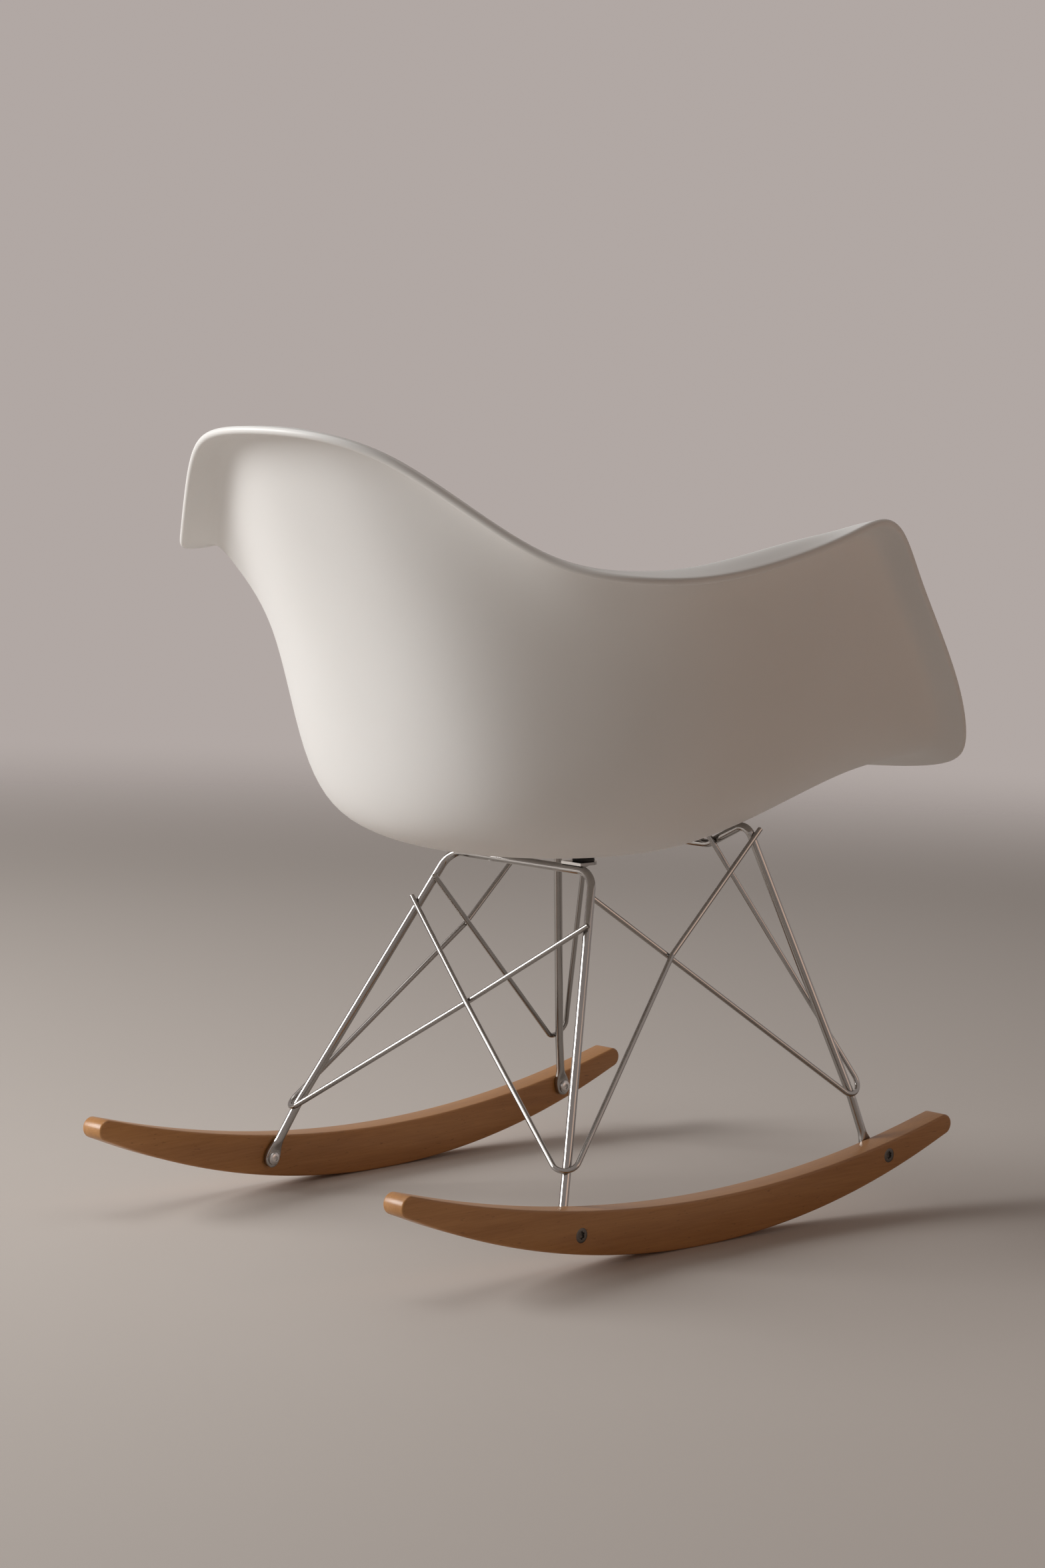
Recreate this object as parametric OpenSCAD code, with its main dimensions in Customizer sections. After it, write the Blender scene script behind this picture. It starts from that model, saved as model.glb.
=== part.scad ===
// Rocking armchair: a one-piece moulded tub shell on a wire base with two wooden rockers.
// Frame: millimetres, +Z up, the sitter faces -Y, origin on the floor under the middle of the chair.
// The sitter's left is +X.  Pieces on the right are mirror images of those on the left unless said.

/* [Overall] */
// Width over the two armrests
shell_w = 632; // [520:1:760]
// Depth of the shell, from its front edge to the lip of the backrest
shell_d = 645; // [540:1:770]
// Height of the shell, from its lowest underside to the top of the backrest
shell_h = 377; // [320:1:450]
// Height of the shell's lowest underside above the floor
seat_z = 325; // [295:1:385]

/* [Shell] */
// Wall thickness of the shell
shell_t = 4; // [3.5:0.5:8]
// Thickness of the lip at its edge
lip_t = 7; // [5:0.5:10]
// Scale of the width of the turned-out lip
lip_scale = 1; // [0.7:0.05:1.2]

/* [Wire base] */
// Diameter of the rods of the two leg hoops
rod_d = 8; // [6:0.5:10]
// Diameter of the wire of the braces
wire_d = 5; // [4:0.5:7]
// Bend radius of the rear hoop's top corners, on the rod's centre line
hoop_bend = 22; // [18:1:26]
// Bend radius of the front hoop's top corners, on the rod's centre line
front_hoop_bend = 10; // [8:1:14]
// Bend radius at the foot of a brace, on the wire's centre line
brace_bend = 12; // [10:1:16]
// Height at which the feet of the rear braces touch their legs
brace_foot_rear = 72; // [66:1:95]
// Height at which the feet of the front braces touch their legs
brace_foot_front = 101; // [92:1:120]

/* [Rockers] */
// Length of a rocker
rocker_len = 690; // [600:1:780]
// Thickness of a rocker, across the chair
rocker_t = 25; // [20:1:32]
// Depth of a rocker at its middle
rocker_h = 41.5; // [36:0.5:50]
// Radius of the curved sole
sole_r = 900; // [800:10:1100]
// Radius of the hollow top edge
top_r = 1330; // [1200:10:1700]
// Width over the rockers at the rear bolts
spread_rear = 423; // [380:1:480]
// Width over the rockers at the front bolts
spread_front = 446; // [400:1:500]
// Lean of the rockers at rest, rear end up, in degrees
lean = 0.75; // [0.6:0.05:1.4]

/* [Hardware] */
// Thickness of a mounting tab
tab_t = 2.5; // [2:0.5:4]
// Middle height of a rubber shock mount
mount_h = 4; // [4:0.5:7]
// Diameter of a shock mount
mount_d = 20; // [18:1:26]
// Thread diameter of all bolts and screws
thread_d = 6; // [5:1:6]

/* [Hidden] */
eps = 0.01;
gap = 0.05;
MESH_FN = 48;

// ---------------------------------------------------------------------------------------------
// Vectors
// ---------------------------------------------------------------------------------------------
function unit(v) = v / norm(v);
function mix(a, b, k) = a + (b - a) * k;
function clamp01(k) = min(max(k, 0), 1);
function across(v, d) = unit(v - d * (v * d));
function flip(p) = [-p.x, p.y, p.z];
function frame_of(x, y, z, o) =
    [[x.x, y.x, z.x, o.x],
     [x.y, y.y, z.y, o.y],
     [x.z, y.z, z.z, o.z],
     [0, 0, 0, 1]];

// ---------------------------------------------------------------------------------------------
// Shell form.  Half of the stations round the lip, from the middle of the front edge (first) past
// the front corner, up to the tip of the armrest, back along the arm and up to the middle of the
// backrest (last).  Each is [across, back, up] with up counted from the shell's lowest underside.
// ---------------------------------------------------------------------------------------------
FORM_W = 632;
FORM_D = 645;
FORM_H = 377;

// Edge of the lip
LIP_LINE = [
    [0, -299, 74],
    [112, -303, 76],
    [219, -307, 84],
    [252, -300, 106],
    [268, -270, 153],
    [283, -220, 206],
    [293, -173, 257],
    [298, -141, 299],
    [304, -104, 306],
    [310, -62, 297],
    [314, -10, 285],
    [313, 55, 271],
    [305, 122, 261],
    [277, 176, 261],
    [228, 221, 272],
    [170, 266, 314],
    [115, 304, 352],
    [60, 328, 367],
    [0, 333, 370]];

// Width of the turned-out lip, and how far its root stands above its edge
LIP_TURN = [
    [24, 11],
    [24, 11],
    [22, 10],
    [22, 6],
    [22, 4],
    [22, 4],
    [22, 4],
    [24, -2],
    [24, -1],
    [24, 5],
    [24, 13],
    [25, 16],
    [27, 14],
    [28, 9],
    [28, 6],
    [27, 3],
    [26, 3],
    [25, 5],
    [24, 7]];

// Wall of the tub at half height
WALL_LINE = [
    [0, -238, 56],
    [93, -238, 61],
    [170, -234, 78],
    [214, -219, 99],
    [240, -198, 125],
    [254, -168, 150],
    [264, -130, 170],
    [269, -98, 185],
    [272, -65, 195],
    [274, -35, 199],
    [273, 0, 198],
    [266, 38, 195],
    [250, 74, 193],
    [225, 107, 195],
    [190, 142, 199],
    [149, 178, 207],
    [102, 206, 215],
    [52, 220, 220],
    [0, 224, 222]];

// Foot of the wall, where it turns in to the seat
FOOT_LINE = [
    [0, -194, 24],
    [73, -193, 29],
    [137, -184, 46],
    [178, -165, 64],
    [206, -143, 75],
    [222, -118, 79],
    [232, -90, 80],
    [239, -65, 81],
    [243, -42, 81],
    [246, -18, 81],
    [245, 8, 79],
    [239, 38, 78],
    [225, 68, 78],
    [202, 98, 78],
    [170, 128, 78],
    [134, 156, 80],
    [93, 176, 82],
    [46, 187, 83],
    [0, 190, 84]];

// Seat: an oval round the bottom of the tub, and a small flat oval in its middle
SEAT_HALF_W = 178;
SEAT_FRONT = -137;
SEAT_BACK = 164;
SEAT_RISE = [4.5, 20, 17.5];
FLAT_HALF_W = 85;
FLAT_FRONT = -75;
FLAT_BACK = 84;
FLAT_RISE = 2;
CENTRE_RISE = -1;

HALF = len(LIP_LINE) - 1;
AROUND = 2 * HALF;
AXIS = [0, -20, 0];
UPPER = 0.24;

// Both halves of a line of stations, as a closed ring
function ring_of(h) = [for (i = [0 : AROUND - 1]) i <= HALF ? h[i] : flip(h[AROUND - i])];
function root_of(i) =
    let (p = LIP_LINE[i],
         inward = unit([AXIS.x - p.x, AXIS.y - p.y, 0]))
    p + inward * LIP_TURN[i][0] * lip_scale + [0, 0, LIP_TURN[i][1]];
ROOT_LINE = [for (i = [0 : HALF]) root_of(i)];
UPPER_LINE = [for (i = [0 : HALF]) mix(ROOT_LINE[i], WALL_LINE[i], UPPER)];

function seat_turn(i) = atan2(FOOT_LINE[i].x, (SEAT_FRONT + SEAT_BACK) / 2 - FOOT_LINE[i].y);
function seat_point(i) =
    let (a = seat_turn(i), c = cos(a), s = sin(a))
    [SEAT_HALF_W * s,
     (SEAT_FRONT + SEAT_BACK) / 2 + (SEAT_FRONT - SEAT_BACK) / 2 * c,
     SEAT_RISE[0] * pow(max(c, 0), 2) + SEAT_RISE[1] * s * s + SEAT_RISE[2] * pow(max(-c, 0), 2)];
SEAT_LINE = [for (i = [0 : HALF]) seat_point(i)];
function flat_point(i) =
    let (a = 360 * i / AROUND)
    [FLAT_HALF_W * sin(a),
     (FLAT_FRONT + FLAT_BACK) / 2 + (FLAT_FRONT - FLAT_BACK) / 2 * cos(a),
     FLAT_RISE];
FLAT_LINE = [for (i = [0 : HALF]) flat_point(i)];
CENTRE_LINE = [for (i = [0 : HALF]) [0, (FLAT_FRONT + FLAT_BACK) / 2, CENTRE_RISE]];

// The rings become the control net of a smooth surface: each is moved out a little round the
// tub, so that the surface passes through the stations instead of inside them.
function eased(r) =
    let (n = len(r))
    [for (i = [0 : n - 1]) r[i] - (r[(i + n - 1) % n] - 2 * r[i] + r[(i + 1) % n]) / 6];
function sized(r) =
    [for (p = r) [p.x * shell_w / FORM_W, p.y * shell_d / FORM_D, seat_z + p.z * shell_h / FORM_H]];
function spun(r) = [for (i = [0 : len(r) - 1]) r[(i + len(r) / 2) % len(r)]];
FLAT_RING = sized(eased(ring_of(FLAT_LINE)));
NET = [
    sized(eased(ring_of(LIP_LINE))),
    sized(eased(ring_of(ROOT_LINE))),
    sized(eased(ring_of(UPPER_LINE))),
    sized(eased(ring_of(WALL_LINE))),
    sized(eased(ring_of(FOOT_LINE))),
    sized(eased(ring_of(SEAT_LINE))),
    FLAT_RING,
    sized(ring_of(CENTRE_LINE)),
    spun(FLAT_RING)];
DOWN = len(NET) - 2;

// Cubic blend of four neighbours, its slope, and a point of the surface.  u runs from 0 at the
// lip to DOWN at the middle of the seat, v runs once round the tub from 0 to AROUND.
function blend(t) =
    [pow(1 - t, 3), 3 * pow(t, 3) - 6 * t * t + 4, -3 * pow(t, 3) + 3 * t * t + 3 * t + 1, pow(t, 3)] / 6;
function on_ring(r, v) =
    let (n = len(r), i = floor(v), w = blend(v - i))
    w[0] * r[(i + n - 1) % n] + w[1] * r[(i + n) % n] + w[2] * r[(i + n + 1) % n] + w[3] * r[(i + n + 2) % n];
function meridian(v) =
    let (m = [for (r = NET) on_ring(r, v)])
    concat([2 * m[0] - m[1]], m);
function along(m, u) =
    let (i = min(floor(u), DOWN - 1), w = blend(u - i))
    w[0] * m[i] + w[1] * m[i + 1] + w[2] * m[i + 2] + w[3] * m[i + 3];
function skin(u, v) = along(meridian(v), u);

// Outward unit normal of the underside, from central differences
STEP = 0.02;
function normal_from(m, m_next, m_last, u) =
    let (du = along(m, min(u + STEP, DOWN - STEP)) - along(m, max(u - STEP, 0)),
         dv = along(m_next, u) - along(m_last, u))
    unit(cross(du, dv));
function skin_normal(u, v) =
    normal_from(meridian(v), meridian(v + STEP), meridian(v + AROUND - STEP), u);

// Height of the underside over a place in plan, found by a few steps towards it
function seek(x, y, u, v, n) =
    let (p = skin(u, v))
    n == 0 ? [u, v] :
    let (pu = (skin(u + STEP, v) - p) / STEP,
         pv = (skin(u, v + STEP) - p) / STEP,
         det = pu.x * pv.y - pu.y * pv.x,
         ex = x - p.x,
         ey = y - p.y)
    seek(x, y, u + (ex * pv.y - ey * pv.x) / det, v + (pu.x * ey - pu.y * ex) / det, n - 1);
SEEK_STEPS = 7;

// ---------------------------------------------------------------------------------------------
// Mount places on the underside of the seat
// ---------------------------------------------------------------------------------------------
TAB_BACK = 13;
REAR_MOUNT_X = 66;
FRONT_MOUNT_X = 46;
REAR_BAR_Y = 11.5;
FRONT_BAR_Y = -168;
rear_uv = seek(REAR_MOUNT_X, REAR_BAR_Y - TAB_BACK, 5.7, 11, SEEK_STEPS);
front_uv = seek(FRONT_MOUNT_X, FRONT_BAR_Y + TAB_BACK, 4.8, 1, SEEK_STEPS);
rear_top = skin(rear_uv[0], rear_uv[1]);
front_top = skin(front_uv[0], front_uv[1]);
rear_n = skin_normal(rear_uv[0], rear_uv[1]);
front_n = skin_normal(front_uv[0], front_uv[1]);

rod_r = rod_d / 2;
wire_r = wire_d / 2;
rear_bar_z = rear_top.z - mount_h - tab_t - rod_r;
front_bar_z = front_top.z - mount_h - tab_t - rod_r;

// ---------------------------------------------------------------------------------------------
// Rockers.  Own frame: X outwards, Y to the rear, Z up from the sole's lowest point.
// ---------------------------------------------------------------------------------------------
REAR_BOLT_Y = 139;
FRONT_BOLT_Y = -257;
REAR_BOLT_DROP = -2;
FRONT_BOLT_LIFT = 2;
toe = atan((spread_front - spread_rear) / 2 / (REAR_BOLT_Y - FRONT_BOLT_Y));
rocker_x = spread_rear / 2 + REAR_BOLT_Y * tan(toe) - rocker_t / 2 / cos(toe);
rocker_z = sole_r * (1 - cos(lean));
function sole_z(y) = sole_r - sqrt(sole_r * sole_r - y * y);
function top_z(y) = rocker_h + top_r - sqrt(top_r * top_r - y * y);
function mid_z(y) = (sole_z(y) + top_z(y)) / 2;
function leaned(p) = [p.x, p.y * cos(lean) - p.z * sin(lean), p.y * sin(lean) + p.z * cos(lean)];
function toed(p) = [p.x * cos(toe) - p.y * sin(toe), p.x * sin(toe) + p.y * cos(toe), p.z];
function at_rocker(p) = toed(leaned(p)) + [rocker_x, 0, rocker_z];
module at_left_rocker() {
    translate([rocker_x, 0, rocker_z])
        rotate([0, 0, toe])
            rotate([lean, 0, 0])
                children();
}
rear_bolt = [0, REAR_BOLT_Y, mid_z(REAR_BOLT_Y) + REAR_BOLT_DROP];
front_bolt = [0, FRONT_BOLT_Y, mid_z(FRONT_BOLT_Y) + FRONT_BOLT_LIFT];

EYE_T = 5;
EYE_D = 17;
EYE_GAP = 0.1;
eye_x = -rocker_t / 2 - EYE_GAP - EYE_T / 2;
clear_d = thread_d + 0.5;
function eye_at(b) = at_rocker([eye_x, b.y, b.z]);
rear_eye = eye_at(rear_bolt);
front_eye = eye_at(front_bolt);
eye_axis = toed([1, 0, 0]);

// ---------------------------------------------------------------------------------------------
// Hoops: rod centre lines, on the left side
// ---------------------------------------------------------------------------------------------
REAR_BEND = [-12, -20, 51];
FRONT_BEND = [-8, 15, 50];
EYE_REACH = 15;
rear_bend = rear_eye + REAR_BEND;
front_bend = front_eye + FRONT_BEND;
rear_corner = [90, REAR_BAR_Y, rear_bar_z];
front_corner = [120, FRONT_BAR_Y + 9, front_bar_z + 25];
front_kink = [67, FRONT_BAR_Y, front_bar_z];
rear_end = rear_eye + unit(REAR_BEND) * EYE_REACH;
front_end = front_eye + unit(FRONT_BEND) * EYE_REACH;
rear_dir = unit(rear_corner - rear_bend);
front_dir = unit(front_corner - front_bend);
function on_leg(foot, dir, z) = foot + dir * (z - foot.z) / dir.z;

// Normals of the rear side and of the left side of the base, pointing out of it
rear_side_n = across([0, 1, 0], rear_dir);
left_side_n = unit(cross(mix(rear_corner, front_corner, 0.5) - rear_bend, front_bend - rear_bend));

// ---------------------------------------------------------------------------------------------
// Braces.  Each is a wire bent to a V, whose foot is welded outside one leg and whose two ends
// are welded to the legs on either side, or to the front bar.  The welds differ a little from
// side to side, so a pair of values gives the left one and then the right one.
// ---------------------------------------------------------------------------------------------
LEFT = 0;
RIGHT = 1;
REAR_X_TOP = 268;
REAR_X_PAST = 6;
SIDE_REAR_TOP = [291, 301];
SIDE_REAR_PAST = [12, -8];
SIDE_CROSS_UP = [8, 3];
CROSS_GAP = 0.2;
REAR_FOOT_CLEAR = 0.5;
FRONT_FOOT_CLEAR = 1.1;
SIDE_FRONT_TOP = 342;
SIDE_FRONT_PAST = 8;
FRONT_BAR_PAST = 8;
BAR_SHARE = 0.22;
touch = rod_r + wire_r;
function outward_at(p, dir) = across([p.x, p.y + 60, 0], dir);
// Where a wire that comes from a far point lies against a rod, on the side that faces hint
function laid_on(p, dir, from, hint) =
    let (n = cross(dir, p - from))
    p + unit(n) * (n * hint > 0 ? touch : -touch);
rear_touch_p = on_leg(rear_bend, rear_dir, brace_foot_rear);
rear_foot = rear_touch_p + outward_at(rear_touch_p, rear_dir) * (touch + REAR_FOOT_CLEAR);
front_touch_p = on_leg(front_bend, front_dir, brace_foot_front);
front_foot = front_touch_p + outward_at(front_touch_p, front_dir) * (touch + FRONT_FOOT_CLEAR);
rear_x_end = laid_on(
    on_leg(rear_bend, rear_dir, REAR_X_TOP), rear_dir, flip(rear_foot), rear_side_n);
function side_rear_end(side) = laid_on(
    on_leg(rear_bend, rear_dir, SIDE_REAR_TOP[side]), rear_dir, front_foot, -left_side_n);
side_front_top = on_leg(front_bend, front_dir, SIDE_FRONT_TOP);
bar_end = laid_on(
    mix(front_kink, front_corner, BAR_SHARE), front_corner - front_kink, front_foot, [0, 1, 0]);

// Corner that a bend of radius r rounds off so that its middle lies at the foot
function v_corner(foot, e1, e2, r) =
    let (a = unit(e1 - foot), b = unit(e2 - foot), half = acos(a * b) / 2)
    foot - unit(a + b) * r * (1 / sin(half) - 1);
// Places where two straight runs pass nearest each other
function nearest(p, q, s, t) =
    let (d = q - p, e = t - s, w = p - s,
         a = d * d, b = d * e, c = e * e, f = d * w, g = e * w,
         k = a * c - b * b)
    [p + d * ((b * g - c * f) / k), s + e * ((a * g - b * f) / k)];
function past(e, from, len) = e + unit(e - from) * len;

rear_v = v_corner(rear_foot, flip(rear_x_end), side_front_top, brace_bend);
rear_pair = nearest(rear_v, flip(rear_x_end), flip(rear_v), rear_x_end);
rear_push = (wire_d + CROSS_GAP) / 2;
function front_v(side) = v_corner(front_foot, side_rear_end(side), bar_end, brace_bend);

// The rear brace's forward arm is bent where it passes outside the straight arm of the front
// brace, and ends outside the front leg
function side_cross(side) =
    let (v = front_v(side),
         e = side_rear_end(side),
         p = nearest(rear_v, side_front_top, v, e)[1],
         d = unit(e - v))
    p + d * SIDE_CROSS_UP[side] / d.z + left_side_n * (wire_d + CROSS_GAP);
function side_front_end(side) = laid_on(side_front_top, front_dir, side_cross(side), left_side_n);
function rear_brace_path(side) = [
    past(flip(rear_x_end), rear_v, REAR_X_PAST),
    rear_pair[0] + rear_side_n * rear_push * (side == LEFT ? -1 : 1),
    rear_v,
    side_cross(side),
    past(side_front_end(side), side_cross(side), SIDE_FRONT_PAST)];
function front_brace_path(side) = [
    past(side_rear_end(side), front_v(side), SIDE_REAR_PAST[side]),
    front_v(side),
    past(bar_end, front_v(side), FRONT_BAR_PAST)];

// ---------------------------------------------------------------------------------------------
// Fasteners
// ---------------------------------------------------------------------------------------------
HEAD_D = 12;
HEAD_H = 3.6;
HEAD_DOME_R = 7.2;
SOCKET_AF = 4;
SOCKET_DEPTH = 2;
NUT_HEAD_D = 13;
NUT_HEAD_T = 2.2;
NUT_BARREL_D = 9;
NUT_BARREL_L = 16;
NUT_FIT = 0.2;
STAR_D = 6;
BOLT_IN_NUT = 8;
PLATE_D = 10;
PLATE_T = 1.5;
PLATE_LIFT = 0.6;
SCREW_IN = 2.4;

// ---------------------------------------------------------------------------------------------
// Shared shapes
// ---------------------------------------------------------------------------------------------
// Children with their +Z turned along z, and a straight round bar between two points
module pointed(z, at) {
    x = across(abs(z.z) > 0.9 ? [1, 0, 0] : [0, 0, 1], z);
    multmatrix(frame_of(x, cross(z, x), z, at)) children();
}
module bar_between(a, b, d) {
    pointed(unit(b - a), a) cylinder(d = d, h = norm(b - a), $fn = MESH_FN);
}

// Round bend of radius r at corner p, between runs of direction a (in) and b (out)
module elbow(p, a, b, r, d) {
    turn = acos(a * b);
    n = unit(b - a * (a * b));
    multmatrix(frame_of(-n, a, cross(-n, a), p - a * r * tan(turn / 2) + n * r))
        rotate_extrude(angle = turn, $fn = 4 * MESH_FN)
            translate([r, 0])
                circle(d = d, $fn = MESH_FN);
}

// Rod bent through a list of points, with a bend radius for each inner point (0 for a slight
// kink).  A bead a hair wider than the rod joins each straight run to the bend beside it.
BEAD_OVER = 0.12;
BEAD_GAP = 0.15;
BEAD_TURN = 40;
module bead(p, dir, d) {
    pointed(dir, p) rotate(BEAD_TURN) sphere(d = d + BEAD_OVER, $fn = MESH_FN);
}
module bent_rod(pts, radii, d) {
    last = len(pts) - 1;
    dirs = [for (i = [0 : last - 1]) unit(pts[i + 1] - pts[i])];
    cut = [for (i = [0 : last]) i == 0 || i == last ? 0 :
        radii[i - 1] * tan(acos(min(dirs[i - 1] * dirs[i], 1)) / 2)];
    for (i = [0 : last - 1]) {
        from = cut[i] + (i == 0 ? 0 : BEAD_GAP);
        to = cut[i + 1] + (i == last - 1 ? 0 : BEAD_GAP);
        bar_between(pts[i] + dirs[i] * from, pts[i + 1] - dirs[i] * to, d);
    }
    for (i = [1 : last - 1]) {
        bead(pts[i] - dirs[i - 1] * cut[i], dirs[i - 1], d);
        if (radii[i - 1] > 0) {
            elbow(pts[i], dirs[i - 1], dirs[i], radii[i - 1], d);
            bead(pts[i] + dirs[i] * cut[i], dirs[i], d);
        }
    }
}

module both_sides() {
    children();
    mirror([1, 0, 0]) children();
}

// Domed socket head and shank along +Z: the head's seat is at Z = 0 and the shank goes up
module socket_screw(shank) {
    difference() {
        union() {
            intersection() {
                translate([0, 0, -HEAD_H]) cylinder(d = HEAD_D, h = HEAD_H, $fn = MESH_FN);
                translate([0, 0, HEAD_DOME_R - HEAD_H]) sphere(r = HEAD_DOME_R, $fn = 2 * MESH_FN);
            }
            translate([0, 0, -1]) cylinder(d = thread_d, h = shank + 1, $fn = MESH_FN);
        }
        translate([0, 0, -HEAD_H - 1])
            cylinder(d = SOCKET_AF / cos(30), h = SOCKET_DEPTH + 1, $fn = 6);
    }
}

// ---------------------------------------------------------------------------------------------
// Seat shell
// ---------------------------------------------------------------------------------------------
RING_STEPS = 3 * AROUND;
DEPTH_STEPS = [0, 0.4, 0.7, 0.9, 1.1, 1.35, 1.7, 2.2, 2.8, 3.4, 4, 4.5, 5, 5.5, 6, 6.5];
NOSE = [30, 60, 90, 120, 150];
module seat_shell() {
    nu = len(DEPTH_STEPS);
    nv = RING_STEPS;
    nn = len(NOSE);
    lines = [for (j = [0 : nv - 1]) meridian(j / nv * AROUND)];
    outer = [for (u = DEPTH_STEPS) [for (j = [0 : nv - 1]) along(lines[j], u)]];
    norms = [for (u = DEPTH_STEPS) [for (j = [0 : nv - 1])
        normal_from(lines[j], lines[(j + 1) % nv], lines[(j + nv - 1) % nv], u)]];
    function wall_t(u) = shell_t + (lip_t - shell_t) * pow(clamp01(1 - u), 2);
    inner = [for (i = [0 : nu - 1]) [for (j = [0 : nv - 1])
        outer[i][j] - norms[i][j] * wall_t(DEPTH_STEPS[i])]];
    // Half-round edge of the lip, from the underside over to the top
    nose = [for (a = NOSE) [for (j = [0 : nv - 1])
        let (out = unit(outer[0][j] - outer[1][j]))
        mix(outer[0][j], inner[0][j], (1 - cos(a)) / 2) + out * lip_t / 2 * sin(a)]];
    centre_out = skin(DOWN, 0);
    centre_in = centre_out + [0, 0, shell_t];
    rows = concat([for (i = [nu - 1 : -1 : 0]) outer[i]], nose, inner);
    nr = len(rows);
    pts = concat([for (r = rows) each r], [centre_out, centre_in]);
    sides = [for (i = [0 : nr - 2]) for (j = [0 : nv - 1])
        let (k = (j + 1) % nv,
             a = i * nv + j, b = i * nv + k, c = (i + 1) * nv + k, d = (i + 1) * nv + j)
        each [[a, b, c], [a, c, d]]];
    cap_out = [for (j = [0 : nv - 1]) [nr * nv, (j + 1) % nv, j]];
    cap_in = [for (j = [0 : nv - 1]) [nr * nv + 1, (nr - 1) * nv + j, (nr - 1) * nv + (j + 1) % nv]];
    color("white")
        polyhedron(points = pts, faces = concat(sides, cap_out, cap_in), convexity = 6);
}

// ---------------------------------------------------------------------------------------------
// Wire base
// ---------------------------------------------------------------------------------------------
// Rod end pressed flat round the bolt, on the left side
module flat_eye(at, up) {
    z = eye_axis;
    x = across(up, z);
    multmatrix(frame_of(x, cross(z, x), z, at))
        translate([0, 0, -EYE_T / 2]) {
            cylinder(d = EYE_D, h = EYE_T, $fn = MESH_FN);
            linear_extrude(height = EYE_T)
                polygon([
                    [0, -EYE_D / 2 + eps],
                    [EYE_REACH, -rod_r],
                    [EYE_REACH, rod_r],
                    [0, EYE_D / 2 - eps]]);
        }
    bead(at + up * EYE_REACH, up, rod_d);
}

module eye_bore(at) {
    z = eye_axis;
    x = across([0, 0, 1], z);
    multmatrix(frame_of(x, cross(z, x), z, at))
        translate([0, 0, -EYE_T])
            cylinder(d = clear_d, h = 2 * EYE_T, $fn = MESH_FN);
}

module rear_leg_hoop() {
    color("silver")
        difference() {
            union() {
                bent_rod([rear_end, rear_bend, rear_corner,
                          flip(rear_corner), flip(rear_bend), flip(rear_end)],
                         [30, hoop_bend, hoop_bend, 30], rod_d);
                both_sides() flat_eye(rear_eye, unit(REAR_BEND));
            }
            both_sides() eye_bore(rear_eye);
        }
}

module front_leg_hoop() {
    color("silver")
        difference() {
            union() {
                bent_rod([front_end, front_bend, front_corner, front_kink,
                          flip(front_kink), flip(front_corner), flip(front_bend), flip(front_end)],
                         [30, front_hoop_bend, 20, 20, front_hoop_bend, 30], rod_d);
                both_sides() flat_eye(front_eye, unit(FRONT_BEND));
            }
            both_sides() eye_bore(front_eye);
        }
}

module rear_brace(side) {
    bent_rod(rear_brace_path(side), [0, brace_bend, 0], wire_d);
}

module front_brace(side) {
    bent_rod(front_brace_path(side), [brace_bend], wire_d);
}

module rear_left_brace() {
    color("silver") rear_brace(LEFT);
}

module rear_right_brace() {
    color("silver") mirror([1, 0, 0]) rear_brace(RIGHT);
}

module front_left_brace() {
    color("silver") front_brace(LEFT);
}

module front_right_brace() {
    color("silver") mirror([1, 0, 0]) front_brace(RIGHT);
}

// ---------------------------------------------------------------------------------------------
// Tabs, shock mounts and their screws
// ---------------------------------------------------------------------------------------------
TAB_D = 24;
TAB_OVER = 3;
// Flat tab that lies on the bar and reaches to the screw; top is the shell point above the screw
module tab(top, bar_y) {
    z0 = top.z - mount_h - tab_t;
    to_bar = sign(bar_y - top.y);
    reach = abs(bar_y - top.y) + TAB_OVER;
    difference() {
        union() {
            translate([top.x, top.y, z0])
                cylinder(d = TAB_D, h = tab_t, $fn = MESH_FN);
            translate([top.x - TAB_D / 2, to_bar > 0 ? top.y : top.y - reach, z0])
                cube([TAB_D, reach, tab_t]);
        }
        translate([top.x, top.y, z0 - 1])
            cylinder(d = clear_d, h = tab_t + 2, $fn = MESH_FN);
    }
}

// Wedge of black rubber between tab and shell, with the threaded plate's pocket inside it
WEDGE_CUT = 80;
module shock_mount(top, n) {
    z0 = top.z - mount_h;
    x = across([1, 0, 0], n);
    difference() {
        translate([top.x, top.y, z0])
            cylinder(d = mount_d, h = 3 * mount_h, $fn = MESH_FN);
        multmatrix(frame_of(x, cross(-n, x), -n, top + n * gap))
            translate([-WEDGE_CUT / 2, -WEDGE_CUT / 2, 0])
                cube(WEDGE_CUT);
        translate([top.x, top.y, z0 + PLATE_LIFT])
            cylinder(d = PLATE_D + gap, h = PLATE_T + gap, $fn = MESH_FN);
        translate([top.x, top.y, z0 - 1])
            cylinder(d = clear_d, h = SCREW_IN + 1.2, $fn = MESH_FN);
    }
}

module mount_plate(top) {
    translate([top.x, top.y, top.z - mount_h + PLATE_LIFT])
        difference() {
            cylinder(d = PLATE_D, h = PLATE_T, $fn = MESH_FN);
            translate([0, 0, -1])
                cylinder(d = thread_d + gap, h = PLATE_T + 2, $fn = MESH_FN);
        }
}

module mount_screw(top) {
    translate([top.x, top.y, top.z - mount_h - tab_t])
        socket_screw(tab_t + SCREW_IN);
}

module rear_left_tab() {
    color("silver") tab(rear_top, REAR_BAR_Y);
}

module rear_right_tab() {
    color("silver") mirror([1, 0, 0]) tab(rear_top, REAR_BAR_Y);
}

module front_left_tab() {
    color("silver") tab(front_top, FRONT_BAR_Y);
}

module front_right_tab() {
    color("silver") mirror([1, 0, 0]) tab(front_top, FRONT_BAR_Y);
}

module rear_left_shock_mount() {
    color("black") shock_mount(rear_top, rear_n);
}

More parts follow.
